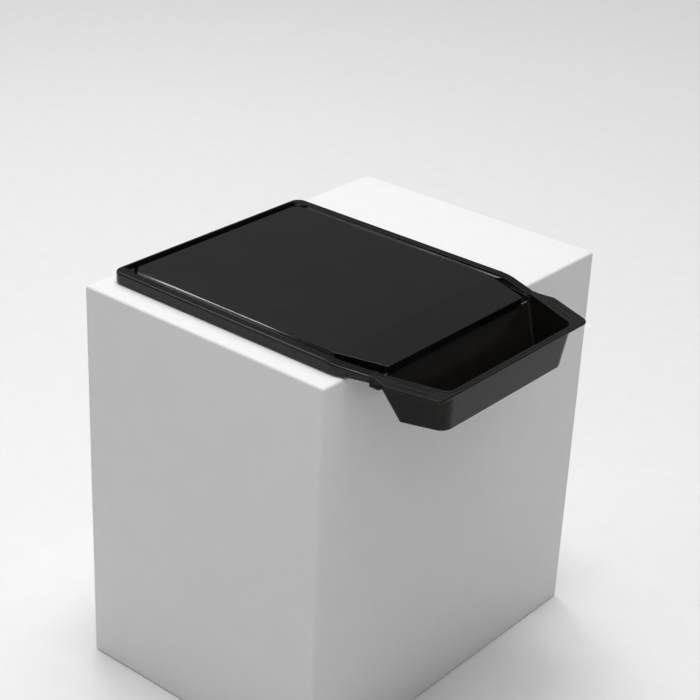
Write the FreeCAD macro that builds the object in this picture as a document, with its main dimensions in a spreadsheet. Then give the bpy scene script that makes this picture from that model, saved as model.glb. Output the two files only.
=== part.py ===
import FreeCAD, Part
import Sketcher
import math
import os

# Cutting board with a catch tray.
# A moulded frame stands on four rubber feet and carries a thick cutting plate. A deep catch
# tray hangs from the frame's narrowed end, past the edge of the worktop: its two tongues slide
# in channels under the frame's arms, each closed from below by a screwed cover.
# Millimetres. +X points to the tray, +Z up. The origin is on the worktop, under the middle
# of the frame.

DIMENSIONS = {
    "frame_length": (354, "closed end of the frame to the tray's seam"),
    "frame_width": (304, "outside of the two long rims"),
    "board_top": (14, "worktop to the rim and to the cutting surface"),
    "foot_gap": (2, "worktop to the underside of the frame"),
    "corner_radius": (13, "outer corners of the closed end, seen from above"),
    "rim_width": (10.8, "long rims, outside to the pocket"),
    "end_rim_width": (4, "rim of the closed end"),
    "rim_round": (2.2, "rounding of the rim's outer top edge"),
    "base_round": (1.2, "rounding of the frame's outer bottom edge"),
    "floor_thickness": (2.4, "floor of the frame"),
    "shelf_height": (9, "worktop to the shelf that carries the plate's ledges"),
    "trough_width": (9.3, "open trough between the closed end and the plate"),
    "trough_inset": (15, "ends of the trough, in from the long sides"),
    "fit_gap": (1.4, "gap all round the cutting plate"),
    "land_gap": (0.9, "gap between the plate's end and the frame's corner land"),
    "neck_length": (38, "tapered outer sides of the arms"),
    "neck_inset": (11, "narrowing of each side at the seam"),
    "arm_length": (47, "tapered inner sides of the arms"),
    "arm_width": (11.9, "arms at the seam"),
    "ramp_length": (50, "end of the frame that slopes down to the tray"),
    "ramp_drop": (4.1, "fall of the rim over the ramp"),
    "shoulder_round": (39, "bend of the rim where the arms start"),
    "neck_shelf": (3.2, "shelf along the inside of the arms"),
    "ledge_width": (7.8, "sunk ledges along both sides of the plate"),
    "ledge_reach": (8, "start of the ramp to the ledges' outer ends"),
    "ledge_slant": (11.5, "slanted ends of the ledges, along the board"),
    "groove_radius": (14, "hollow of the juice grooves in the ledges"),
    "groove_shallow": (0.9, "cutting surface to a groove's bottom, closed end"),
    "groove_deep": (2, "cutting surface to a groove's bottom, start of the ramp"),
    "plate_clearance": (0.6, "underside of the plate to the frame's floor"),
    "plate_corner": (14, "corners cut off at the plate's closed end"),
    "corner_gap": (4, "plate's cut corners to the frame's corner lands"),
    "plate_overhang": (3.2, "plate past the seam"),
    "plate_drop": (2, "fall of the cutting surface over the ramp"),
    "plate_inset": (17.5, "narrowing of each side of the plate at the tray"),
    "plate_bend": (2, "start of the plate's narrowing, ahead of the ramp"),
    "plate_tray_round": (3, "upright corners of the plate at the tray"),
    "plate_round": (0.8, "rounding of the cutting surface's edge"),
    "drip_depth": (2, "lip under the plate's end, below its underside"),
    "drip_width": (2.6, "lip under the plate's end, along the board"),
    "drip_inset": (1, "ends of the lip, in from the plate's corners"),
    "seam_gap": (0.3, "frame to tray"),
    "flange_length": (79, "seam to the tray's outer edge"),
    "flange_drop": (4.3, "fall of the tray's flange over its length"),
    "flange_thickness": (2.4, "tray's flange"),
    "flange_neck": (7, "straight start of the flange at the seam"),
    "flange_flare": (24, "seam to the flange's widest place"),
    "flange_widest": (4.4, "widening of each side of the flange there"),
    "flange_tip": (18.1, "narrowing from the widest place to the tip"),
    "tip_radius": (9, "outer corners of the flange"),
    "flange_round": (1.1, "rounding of the flange's top edge"),
    "waist_round": (12, "bends of the flange's outline near the seam"),
    "tray_depth": (42.5, "worktop down to the tray's underside"),
    "tray_wall": (2, "tray's walls and floor"),
    "mouth_rim": (5, "flange's outer edge to the tray's outer wall, at the worktop's level"),
    "mouth_shelf": (19.6, "flange's tip to the bowl's side at its outer wall, same level"),
    "bowl_taper": (0.33, "narrowing of the bowl per length towards the outer wall"),
    "outer_draft": (0.132, "lean of the outer wall per depth"),
    "side_draft": (0.16, "lean of the side walls per depth"),
    "inner_draft": (0.469, "lean of the wall beside the board per depth"),
    "foot_inner": (20.7, "seam to the bowl's underside"),
    "bowl_corner": (15, "outer vertical corners of the bowl"),
    "bowl_heel": (4, "vertical corners beside the board"),
    "bowl_base": (3, "rounding round the bowl's underside"),
    "bead_width": (2.2, "raised bead round the mouth"),
    "bead_height": (0.6, "bead above the flange"),
    "bead_margin": (0.8, "bead's inner edge to the mouth"),
    "lip_height": (2, "worktop to the tray's edge under the plate"),
    "lip_gap": (2.5, "plate's end to where the tray's edge rises again"),
    "block_length": (12, "tray's blocks that meet the arms"),
    "block_slant": (6, "slanted inner ends of the blocks"),
    "block_inset": (3, "blocks' inner ends, in from the arms"),
    "block_bottom": (1.2, "worktop to the underside of the blocks"),
    "block_relief": (0.3, "blocks' outer sides, in from the flange's edge"),
    "hook_depth": (1.8, "lip under each block"),
    "hook_setback": (1.5, "seam to the lips under the blocks"),
    "hook_reach": (1, "lips past the blocks' outer sides"),
    "grip_start": (25, "seam to the grip grooves"),
    "grip_length": (38, "grip grooves"),
    "grip_inset": (6.6, "flange's edge to the first groove"),
    "grip_pitch": (8.4, "between the two grooves of a side"),
    "grip_width": (1.7, "grip grooves"),
    "grip_depth": (0.7, "grip grooves"),
    "tongue_length": (57, "tongues inside the arms"),
    "tongue_width": (5.2, "tongues"),
    "tongue_height": (3.5, "tongues"),
    "tongue_root": (5, "tongues run on into the blocks"),
    "tongue_middle": (15.5, "long side of the frame to the middle of a tongue"),
    "slide_gap": (0.3, "tongue to channel, on every side"),
    "cover_thickness": (1.5, "channel covers"),
    "cover_gap": (0.2, "cover to frame, all round"),
    "cover_margin": (3.2, "cover past the channel on the inside"),
    "cover_head": (12, "cover past the channel's closed end"),
    "cover_tab": (30, "length of the wider part of a cover"),
    "cover_tab_reach": (3.6, "long side of the frame to the wide part"),
    "cover_end": (1, "seam to the cover's end"),
    "screw_head": (2.4, "radius of a screw's head"),
    "head_depth": (0.9, "screw's head sunk into a cover"),
    "screw_shank": (1.2, "radius of a screw's shank"),
    "screw_length": (5.2, "whole screw"),
    "screw_point": (0.8, "tapered end of a screw"),
    "screw_recess": (0.15, "screw's head below the cover's face"),
    "driver_radius": (1, "driver's recess in a screw's head"),
    "driver_depth": (0.35, "driver's recess in a screw's head"),
    "screw_end_inset": (7, "outer screw to the end of a cover's wide part"),
    "screw_side_inset": (4, "outer screw to the side of a cover's wide part"),
    "pilot_gap": (0.05, "screw's shank to its hole in the frame"),
    "pilot_spare": (0.3, "hole in the frame past the screw's point"),
    "screw_gap": (0.1, "screw's head to its sink in the cover"),
    "shank_gap": (0.15, "screw's shank to the cover"),
    "foot_radius": (7, "rubber feet"),
    "foot_recess": (1.2, "foot set into the frame"),
    "foot_fit": (0.1, "foot to the side of its recess"),
    "foot_chamfer": (0.8, "bevel round a foot's underside"),
    "foot_side": (11, "long side of the frame to a foot's middle"),
    "foot_closed_end": (14, "closed end of the frame to a foot's middle"),
    "foot_tray_end": (97, "seam to a foot's middle"),
    "overcut": (5, "how far a cut runs on past the face that it leaves"),
}

# How near, in mm, an edge or a face has to lie to a place to count as being there.
SAME = 0.01
CLOSE = 0.05
LOOSE = 0.1

doc = FreeCAD.newDocument("cutting_board")
sheet = doc.addObject("Spreadsheet::Sheet", "dims")
for row, (alias, (number, meaning)) in enumerate(DIMENSIONS.items(), start=1):
    sheet.set(f"A{row}", str(number))
    sheet.setAlias(f"A{row}", alias)
    sheet.set(f"B{row}", meaning)
doc.recompute()


def named(text):
    """Turn dimension names in an expression into references to the sheet."""
    words = []
    for word in text.replace("(", " ( ").replace(")", " ) ").split():
        words.append(f"dims.{word}" if word in DIMENSIONS else word)
    return " ".join(words).replace("sqrt (", "sqrt(").replace("atan (", "atan(")


def value(text):
    """Number that an expression gives now."""
    return float(sheet.evalExpression(named(text)))


# Places that several pieces share, as expressions of the driving dimensions.
SEAM = "( frame_length / 2 )"
CLOSED_END = "( 0 - frame_length / 2 )"
SIDE = "( frame_width / 2 )"
POCKET_SIDE = "( frame_width / 2 - rim_width )"
LEDGE_SIDE = f"( {POCKET_SIDE} - fit_gap )"
FIELD_SIDE = f"( {LEDGE_SIDE} - ledge_width )"
FLOOR = "( foot_gap + floor_thickness )"
PLATE_END = f"( {CLOSED_END} + end_rim_width + trough_width + land_gap )"
RAMP_START = f"( {SEAM} - ramp_length )"
ARM_OUTER = f"( {SIDE} - neck_inset )"
ARM_INNER = f"( {ARM_OUTER} - arm_width )"
TRAY = f"( {SEAM} + seam_gap )"
FLANGE_TOP = "( board_top - ramp_drop )"
TONGUE_MIDDLE = f"( {SIDE} - tongue_middle )"
CHANNEL_HALF = "( tongue_width / 2 + slide_gap )"
CHANNEL_START = f"( {TRAY} - tongue_length - slide_gap )"
CHANNEL_FLOOR = "( foot_gap + cover_thickness )"
CHANNEL_TOP = f"( {CHANNEL_FLOOR} + tongue_height + slide_gap * 2 )"
MOUTH_OUTER = "( flange_length - mouth_rim )"
MOUTH_HALF = f"( {ARM_OUTER} + flange_widest - flange_tip - mouth_shelf )"
PLATE_UNDERSIDE = f"( {FLOOR} + plate_clearance )"
PLATE_TIP = f"( {SEAM} + plate_overhang )"
ROOT_TWO = "1.4142"


def new_body(label):
    body = doc.addObject("PartDesign::Body", label)
    body.Label = label
    return body


def origin_plane(body, role):
    return next(plane for plane in body.Origin.OriginFeatures if plane.Role == role)


def draw(body, name, role, loops, height="0"):
    """Sketch of closed outlines on an origin plane, lifted by height along its normal."""
    sketch = body.newObject("Sketcher::SketchObject", name)
    sketch.AttachmentSupport = (origin_plane(body, role), [""])
    sketch.MapMode = "FlatFace"
    sketch.setExpression("AttachmentOffset.Base.z", named(height))
    for loop in loops:
        add_outline(sketch, loop)
    doc.recompute()
    return sketch


def add_outline(sketch, corners):
    """Closed outline whose corners stay bound to the sheet."""
    first = sketch.GeometryCount
    spots = [FreeCAD.Vector(value(across), value(along), 0) for across, along in corners]
    count = len(spots)
    for i in range(count):
        sketch.addGeometry(Part.LineSegment(spots[i], spots[(i + 1) % count]), False)
    for i in range(count):
        following = first + (i + 1) % count
        sketch.addConstraint(Sketcher.Constraint("Coincident", first + i, 2, following, 1))
    for i, (across, along) in enumerate(corners):
        for kind, text, number in (("DistanceX", across, spots[i].x), ("DistanceY", along, spots[i].y)):
            index = sketch.addConstraint(Sketcher.Constraint(kind, -1, 1, first + i, 1, number))
            sketch.renameConstraint(index, f"{kind}{first + i}")
            sketch.setExpression(f"Constraints.{kind}{first + i}", named(text))


def add_circle(sketch, across, along, radius):
    """Circle whose centre and radius stay bound to the sheet."""
    centre = FreeCAD.Vector(value(across), value(along), 0)
    index = sketch.addGeometry(Part.Circle(centre, FreeCAD.Vector(0, 0, 1), value(radius)), False)
    for kind, text in (("DistanceX", across), ("DistanceY", along)):
        number = centre.x if kind == "DistanceX" else centre.y
        constraint = sketch.addConstraint(Sketcher.Constraint(kind, -1, 1, index, 3, number))
        sketch.renameConstraint(constraint, f"{kind}{index}")
        sketch.setExpression(f"Constraints.{kind}{index}", named(text))
    constraint = sketch.addConstraint(Sketcher.Constraint("Radius", index, value(radius)))
    sketch.renameConstraint(constraint, f"radius{index}")
    sketch.setExpression(f"Constraints.radius{index}", named(radius))


def pad(body, name, sketch, length, both_ways=False):
    feature = body.newObject("PartDesign::Pad", name)
    feature.Profile = sketch
    feature.Midplane = both_ways
    feature.setExpression("Length", named(length))
    doc.recompute()
    return feature


def pocket(body, name, sketch, length, upwards=False, both_ways=False):
    """Cut along the sketch's normal, downwards unless told otherwise."""
    before = body.Shape.Volume
    feature = body.newObject("PartDesign::Pocket", name)
    feature.Profile = sketch
    feature.Reversed = upwards
    feature.Midplane = both_ways
    feature.setExpression("Length", named(length))
    doc.recompute()
    if body.Shape.Volume > before - SAME:
        raise ValueError(f"{name} cuts nothing")
    return feature


def round_edges(body, name, radius, wanted):
    """Fillet on the edges for which wanted(edge) is true."""
    tip = body.Tip
    edges = [f"Edge{i}" for i, edge in enumerate(tip.Shape.Edges, start=1) if wanted(edge)]
    if not edges:
        raise ValueError(f"{name} finds no edge")
    feature = body.newObject("PartDesign::Fillet", name)
    feature.Base = (tip, edges)
    feature.setExpression("Radius", named(radius))
    doc.recompute()
    return feature


def both_sides(half):
    """Outline symmetric about the long axis, from its corners with positive Y."""
    return half + [(across, f"0 - {along}") for across, along in reversed(half)]


def pair(half):
    """Two outlines, one each side of the long axis."""
    return [half, [(across, f"0 - {along}") for across, along in half]]


def near(number, text, reach=CLOSE):
    return abs(number - value(text)) < reach


def upright(edge):
    """True for an edge whose ends lie one above the other."""
    ends = [vertex.Point for vertex in edge.Vertexes]
    return len(ends) == 2 and math.hypot(ends[0].x - ends[1].x, ends[0].y - ends[1].y) < SAME


def spans(edge):
    box = edge.BoundBox
    return box.XMin, box.XMax, box.YMin, box.YMax, box.ZMin, box.ZMax


# ---- base_frame: rim, floor, shelf for the plate and the two arms that carry the tray ----

def make_frame():
    body = new_body("base_frame")
    outline = both_sides([
        (CLOSED_END, SIDE),
        (f"{SEAM} - neck_length", SIDE),
        (SEAM, ARM_OUTER),
    ])
    block = draw(body, "frame_outline", "XY_Plane", [outline], "foot_gap")
    pad(body, "frame_block", block, "board_top - foot_gap")
    ramp_end = f"{SEAM} + overcut"
    ramp_fall = "board_top - ramp_drop * ( ramp_length + overcut ) / ramp_length"
    ramp = draw(body, "ramp_outline", "XZ_Plane", [[
        (RAMP_START, "board_top"),
        (ramp_end, ramp_fall),
        (ramp_end, "board_top + overcut"),
        (RAMP_START, "board_top + overcut"),
    ]])
    pocket(body, "ramp", ramp, "frame_width + overcut * 2", both_ways=True)
    round_edges(body, "closed_corners", "corner_radius",
                lambda edge: upright(edge) and near(spans(edge)[0], CLOSED_END))
    round_edges(body, "neck_shoulders", "shoulder_round",
                lambda edge: upright(edge) and near(spans(edge)[0], f"{SEAM} - neck_length"))
    seam = value(SEAM)

    def outer_top(edge):
        left, right, front, back, low, high = spans(edge)
        level = high > value(FLANGE_TOP) - LOOSE and low > value(FLANGE_TOP) - LOOSE
        across_ramp = near(left, RAMP_START) and near(right, RAMP_START)
        return level and not across_ramp and not left > seam - LOOSE

    def outer_base(edge):
        left, right, front, back, low, high = spans(edge)
        return near(high, "foot_gap") and not left > seam - LOOSE

    round_edges(body, "rim_rounding", "rim_round", outer_top)
    round_edges(body, "base_rounding", "base_round", outer_base)

    # Pocket down to the shelf: the plate's outline with a gap, the trough, and the open neck.
    land_edge = f"( {PLATE_END} - land_gap )"
    trough_side = f"( {SIDE} - trough_inset )"
    diagonal_gap = f"( corner_gap * {ROOT_TWO} )"
    # The plate's cut corner, moved out by the gap, meets the trough's side and the pocket's side.
    corner_low = f"( {LEDGE_SIDE} - plate_corner + {diagonal_gap} - land_gap )"
    corner_high = f"( {PLATE_END} + plate_corner - {diagonal_gap} + fit_gap )"
    upper = both_sides([
        (f"{CLOSED_END} + end_rim_width", trough_side),
        (land_edge, trough_side),
        (land_edge, corner_low),
        (corner_high, POCKET_SIDE),
        (f"{SEAM} - arm_length", POCKET_SIDE),
        (SEAM, ARM_INNER),
        (f"{SEAM} + overcut", ARM_INNER),
    ])
    upper_sketch = draw(body, "shelf_outline", "XY_Plane", [upper], "board_top + overcut")
    pocket(body, "shelf", upper_sketch, "board_top + overcut - shelf_height")

    slab_side = f"( {FIELD_SIDE} + plate_clearance )"
    shelf_end = f"( {ARM_INNER} - neck_shelf )"
    narrow_part = f"( ( {slab_side} - {shelf_end} ) / ( {POCKET_SIDE} - {ARM_INNER} ) )"
    lower = both_sides([
        (f"{CLOSED_END} + end_rim_width", trough_side),
        (land_edge, trough_side),
        (land_edge, corner_low),
        (f"{land_edge} + ( {slab_side} - {corner_low} )", slab_side),
        (f"{SEAM} - arm_length * {narrow_part}", slab_side),
        (SEAM, shelf_end),
        (f"{SEAM} + overcut", shelf_end),
    ])
    lower_sketch = draw(body, "floor_outline", "XY_Plane", [lower], "board_top + overcut")
    pocket(body, "floor", lower_sketch, f"board_top + overcut - {FLOOR}")

    # Channels for the tray's tongues, open underneath, and the seats of their covers.
    channel = [
        (CHANNEL_START, f"{TONGUE_MIDDLE} - {CHANNEL_HALF}"),
        (f"{SEAM} + overcut", f"{TONGUE_MIDDLE} - {CHANNEL_HALF}"),
        (f"{SEAM} + overcut", f"{TONGUE_MIDDLE} + {CHANNEL_HALF}"),
        (CHANNEL_START, f"{TONGUE_MIDDLE} + {CHANNEL_HALF}"),
    ]
    channel_sketch = draw(body, "channel_outline", "XY_Plane", pair(channel), "foot_gap")
    pocket(body, "channels", channel_sketch, f"{CHANNEL_TOP} - foot_gap", upwards=True)
    seat_sketch = draw(body, "seat_outline", "XY_Plane", pair(cover_outline("cover_gap", "( 0 - overcut )")), "foot_gap")
    pocket(body, "cover_seats", seat_sketch, "cover_thickness", upwards=True)

    recess = draw(body, "foot_recess_outline", "XY_Plane", [], "foot_gap")
    for across, along in FOOT_SPOTS:
        add_circle(recess, across, along, "foot_radius + foot_fit")
    pocket(body, "foot_recesses", recess, "foot_recess", upwards=True)
    pilots = draw(body, "pilot_outline", "XY_Plane", [], "foot_gap")
    for across, along in SCREW_SPOTS:
        add_circle(pilots, across, along, "screw_shank + pilot_gap")
    pocket(body, "screw_pilots", pilots, "screw_length + pilot_spare", upwards=True)
    return body


def cover_outline(gap, end="cover_end"):
    """Cover seen from below, or its seat, which has a gap and runs to the seam. Positive Y side."""
    inside = f"( {TONGUE_MIDDLE} - {CHANNEL_HALF} - cover_margin - {gap} )"
    outside = f"( {TONGUE_MIDDLE} + {CHANNEL_HALF} + {gap} )"
    tab = f"( {SIDE} - cover_tab_reach + {gap} )"
    start = f"( {CHANNEL_START} - cover_head - {gap} )"
    step = f"( {CHANNEL_START} - cover_head + cover_tab + {gap} )"
    seam_end = f"( {SEAM} - {end} )"
    return [(start, inside), (seam_end, inside), (seam_end, outside),
            (step, outside), (step, tab), (start, tab)]


FOOT_SPOTS = [
    (end, side)
    for end in (f"{CLOSED_END} + foot_closed_end", f"{SEAM} - foot_tray_end")
    for side in (f"{SIDE} - foot_side", f"0 - ( {SIDE} - foot_side )")
]
SCREW_INNER = (f"{CHANNEL_START} - cover_head / 2", TONGUE_MIDDLE)
SCREW_OUTER = (f"{CHANNEL_START} - cover_head + cover_tab - screw_end_inset",
               f"{SIDE} - cover_tab_reach - screw_side_inset")
SCREW_SPOTS = [
    (across, sign + along)
    for sign in ("", "0 - ")
    for across, along in (SCREW_INNER, (SCREW_OUTER[0], f"( {SCREW_OUTER[1]} )"))
]


# ---- cutting_plate: thick plate whose side ledges carry juice grooves that deepen to the tray ----

def make_plate():
    body = new_body("cutting_plate")
    tray_side = f"( {FIELD_SIDE} - plate_inset )"
    corner_start = f"( {PLATE_END} + plate_corner - ledge_width )"
    ledge_end = f"( {RAMP_START} + ledge_reach )"
    slab = both_sides([
        (PLATE_END, f"( {LEDGE_SIDE} - plate_corner )"),
        (f"{PLATE_END} + plate_corner", LEDGE_SIDE),
        (ledge_end, LEDGE_SIDE),
        (f"{ledge_end} - ledge_slant", FIELD_SIDE),
    ])
    slab_sketch = draw(body, "slab_outline", "XY_Plane", [slab], "shelf_height")
    pad(body, "slab", slab_sketch, "board_top - shelf_height")

    # The grooves are round hollows whose bottoms fall towards the tray.
    groove_run = f"( {RAMP_START} - {PLATE_END} )"
    groove_middle = f"( {FIELD_SIDE} + ledge_width / 2 )"
    centre = "( board_top - groove_deep + groove_radius )"
    section = draw(body, "groove_section", "YZ_Plane", [], RAMP_START)
    add_circle(section, groove_middle, centre, "groove_radius")
    add_circle(section, f"0 - {groove_middle}", centre, "groove_radius")
    fall = f"( ( groove_deep - groove_shallow ) / {groove_run} )"
    section.AttachmentOffset = FreeCAD.Placement(
        section.AttachmentOffset.Base,
        FreeCAD.Rotation(FreeCAD.Vector(1, 0, 0), math.degrees(math.atan(value(fall)))))
    section.setExpression("AttachmentOffset.Rotation.Angle", named(f"atan {fall}"))
    doc.recompute()
    pocket(body, "grooves", section, "frame_length * 2", both_ways=True)

    field = both_sides([
        (PLATE_END, f"( {LEDGE_SIDE} - plate_corner )"),
        (corner_start, FIELD_SIDE),
        (f"{RAMP_START} - plate_bend", FIELD_SIDE),
        (PLATE_TIP, tray_side),
    ])
    field_sketch = draw(body, "field_outline", "XY_Plane", [field], PLATE_UNDERSIDE)
    pad(body, "field", field_sketch, f"board_top - {PLATE_UNDERSIDE}")
    drip_side = f"( {tray_side} - drip_inset )"
    drip = both_sides([(f"{PLATE_TIP} - drip_width", drip_side), (PLATE_TIP, drip_side)])
    drip_sketch = draw(body, "drip_outline", "XY_Plane", [drip], f"{PLATE_UNDERSIDE} - drip_depth")
    pad(body, "drip_lip", drip_sketch, "drip_depth + drip_inset")
    ramp_run = "( ramp_length + plate_overhang )"
    ramp_low = f"board_top - plate_drop * ( {ramp_run} + overcut ) / {ramp_run}"
    ramp = draw(body, "plate_ramp_outline", "XZ_Plane", [[
        (RAMP_START, "board_top"),
        (f"{PLATE_TIP} + overcut", ramp_low),
        (f"{PLATE_TIP} + overcut", "board_top + overcut"),
        (RAMP_START, "board_top + overcut"),
    ]])
    pocket(body, "plate_ramp", ramp, "frame_width", both_ways=True)
    end = value(PLATE_TIP)

    def tray_corner(edge):
        left, right, front, back, low, high = spans(edge)
        return upright(edge) and left > end - LOOSE and near(high, "board_top - plate_drop", LOOSE)

    def field_edge(edge):
        if edge.Length < 1:
            return False
        ramp_line = near(spans(edge)[0], RAMP_START) and near(spans(edge)[1], RAMP_START)
        middle = edge.valueAt((edge.FirstParameter + edge.LastParameter) / 2)
        past = max(0, middle.x - value(RAMP_START))
        surface = value("board_top") - value("plate_drop") / value(ramp_run) * past
        # The step down to a groove stays sharp: at the closed end it is too low for a rounding.
        beside_groove = near(abs(middle.y), FIELD_SIDE)
        return abs(middle.z - surface) < CLOSE and not ramp_line and not beside_groove

    round_edges(body, "tray_corners", "plate_tray_round", tray_corner)
    round_edges(body, "field_rounding", "plate_round", field_edge)
    return body


# ---- catch_tray: sloping flange, deep bowl, blocks and tongues that hold it to the frame ----

def make_form(label, inset, low, high, corner, heel):
    """Solid in the shape of the bowl, drawn in by inset. Its walls lean about the worktop's level."""
    body = new_body(label)
    outer = f"( {TRAY} + {MOUTH_OUTER} - {inset} )"
    outer_side = f"( {MOUTH_HALF} - {inset} * sqrt ( 1 + bowl_taper ^ 2 ) )"
    board_inset = f"( {inset} * sqrt ( 1 + inner_draft ^ 2 ) )"
    inner = f"( {TRAY} + foot_inner - inner_draft * tray_depth + {board_inset} )"
    inner_side = f"( {outer_side} + bowl_taper * ( {outer} - {inner} ) )"
    outline = both_sides([(inner, inner_side), (outer, outer_side)])
    sketch = draw(body, f"{label}_outline", "XY_Plane", [outline], low)
    pad(body, f"{label}_block", sketch, f"{high} - {low}")
    lean(body, f"{label}_outer_wall", "outer_draft", lambda face: near(face.CenterOfMass.x, outer))
    lean(body, f"{label}_board_wall", "inner_draft", lambda face: near(face.CenterOfMass.x, inner))
    half_way = value(outer_side) / 2
    lean(body, f"{label}_side_walls", "side_draft", lambda face: abs(face.CenterOfMass.y) > half_way)
    bottom = value(low)
    heel_limit = value(inner) + value("foot_inner") + value("bowl_heel")

    def wall_corner(edge, board_side):
        left, right, front, back, under, over = spans(edge)
        full = under < bottom + LOOSE and over > value(high) - LOOSE
        return full and (left < heel_limit) == board_side

    round_edges(body, f"{label}_corners", corner, lambda edge: wall_corner(edge, False))
    round_edges(body, f"{label}_heels", heel, lambda edge: wall_corner(edge, True))
    round_edges(body, f"{label}_base", "bowl_base", lambda edge: spans(edge)[5] < bottom + LOOSE)
    return body


def lean(body, name, slope, wanted):
    """Draft on the faces for which wanted(face) is true, narrower below."""
    tip = body.Tip
    faces = [f"Face{i}" for i, face in enumerate(tip.Shape.Faces, start=1) if wanted(face)]
    feature = body.newObject("PartDesign::Draft", name)
    feature.Base = (tip, faces)
    feature.NeutralPlane = (origin_plane(body, "XY_Plane"), [""])
    feature.Reversed = True
    feature.setExpression("Angle", named(f"atan ( {slope} )"))
    doc.recompute()
    return feature


def flange_edge(along):
    """Half width of the flange at a distance from the seam past its widest place."""
    run = "( flange_length - flange_flare )"
    return f"( {ARM_OUTER} + flange_widest - flange_tip * ( {along} - flange_flare ) / {run} )"


def sloped(sketch):
    """Tip a sketch from level into the plane of the flange's top."""
    slope = math.degrees(math.atan(value("flange_drop") / value("flange_length")))
    seam_spot = FreeCAD.Vector(value(TRAY), 0, value(FLANGE_TOP))
    sketch.AttachmentOffset = FreeCAD.Placement(seam_spot, FreeCAD.Rotation(FreeCAD.Vector(0, 1, 0), slope))
    sketch.setExpression("AttachmentOffset.Base.x", named(TRAY))
    sketch.setExpression("AttachmentOffset.Base.z", named(FLANGE_TOP))
    sketch.setExpression("AttachmentOffset.Rotation.Angle",
                         named("atan ( flange_drop / flange_length )"))
    doc.recompute()


def combine(body, name, kind, form):
    """Join another body to this one, or cut it out."""
    feature = body.newObject("PartDesign::Boolean", name)
    feature.Type = kind
    feature.Group = [form]
    doc.recompute()
    return feature


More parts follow.
